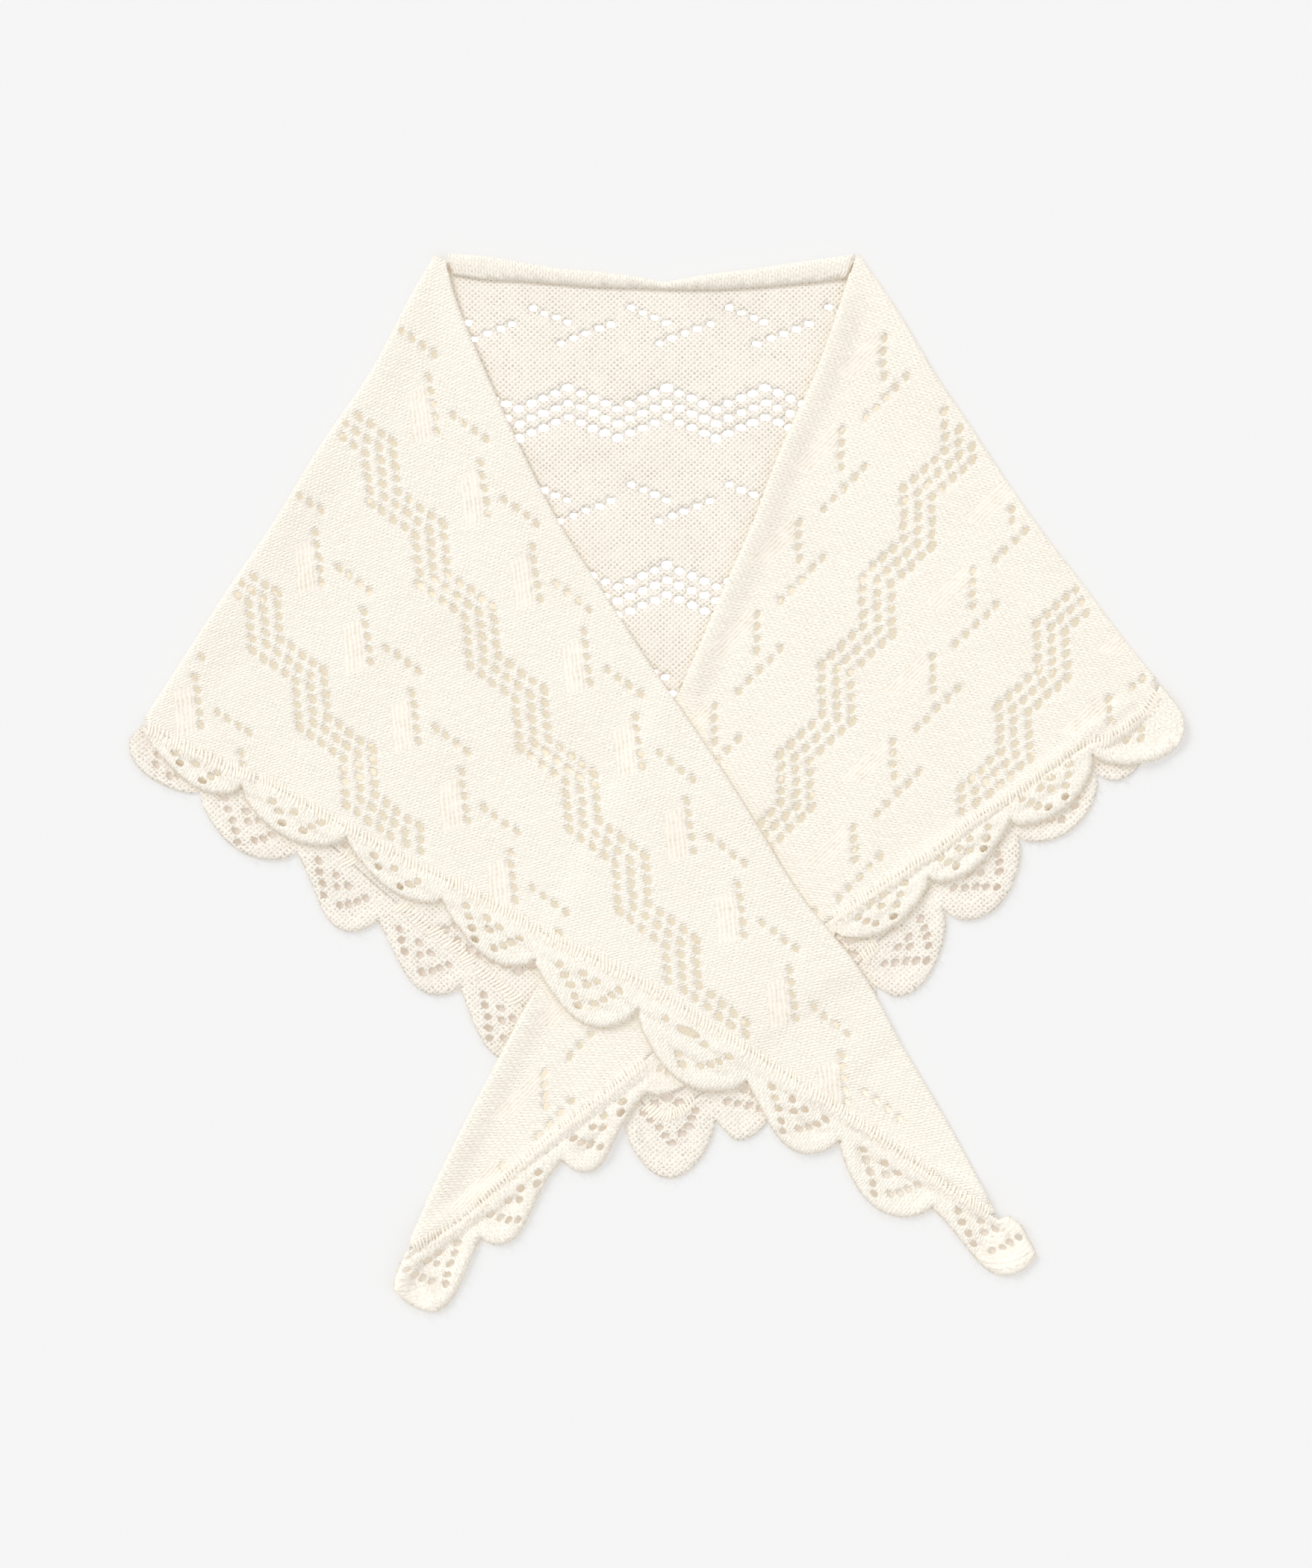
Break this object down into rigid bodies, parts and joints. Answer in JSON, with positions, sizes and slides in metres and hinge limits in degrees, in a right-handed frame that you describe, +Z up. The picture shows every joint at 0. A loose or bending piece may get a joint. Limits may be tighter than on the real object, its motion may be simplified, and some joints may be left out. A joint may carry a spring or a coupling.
{
  "type": "triangle shawl",
  "caption": "Knitted lace triangle shawl with scalloped edging, laid flat as worn, its two fronts folded over the back and crossed.",
  "frame": {"origin": "centre of the laid-out shawl's plan, on the surface it lies on", "axes": "+Z up from the surface, +Y towards the neck edge, +X to the right as seen from above"},
  "size_m": [0.5639, 0.5661, 0.0089],
  "materials": {
    "knit_face": "fine soft knit, right side",
    "knit_reverse": "fine soft knit, wrong side",
    "knit_edging": "fine soft knit lace edging"
  },
  "bodies": {
    "root": {"back_body": "knit_reverse", "back_edging": "knit_reverse", "left_front_body": "knit_face", "left_front_edging": "knit_edging", "right_front_body": "knit_face", "right_front_edging": "knit_edging"}
  },
  "joints": []
}
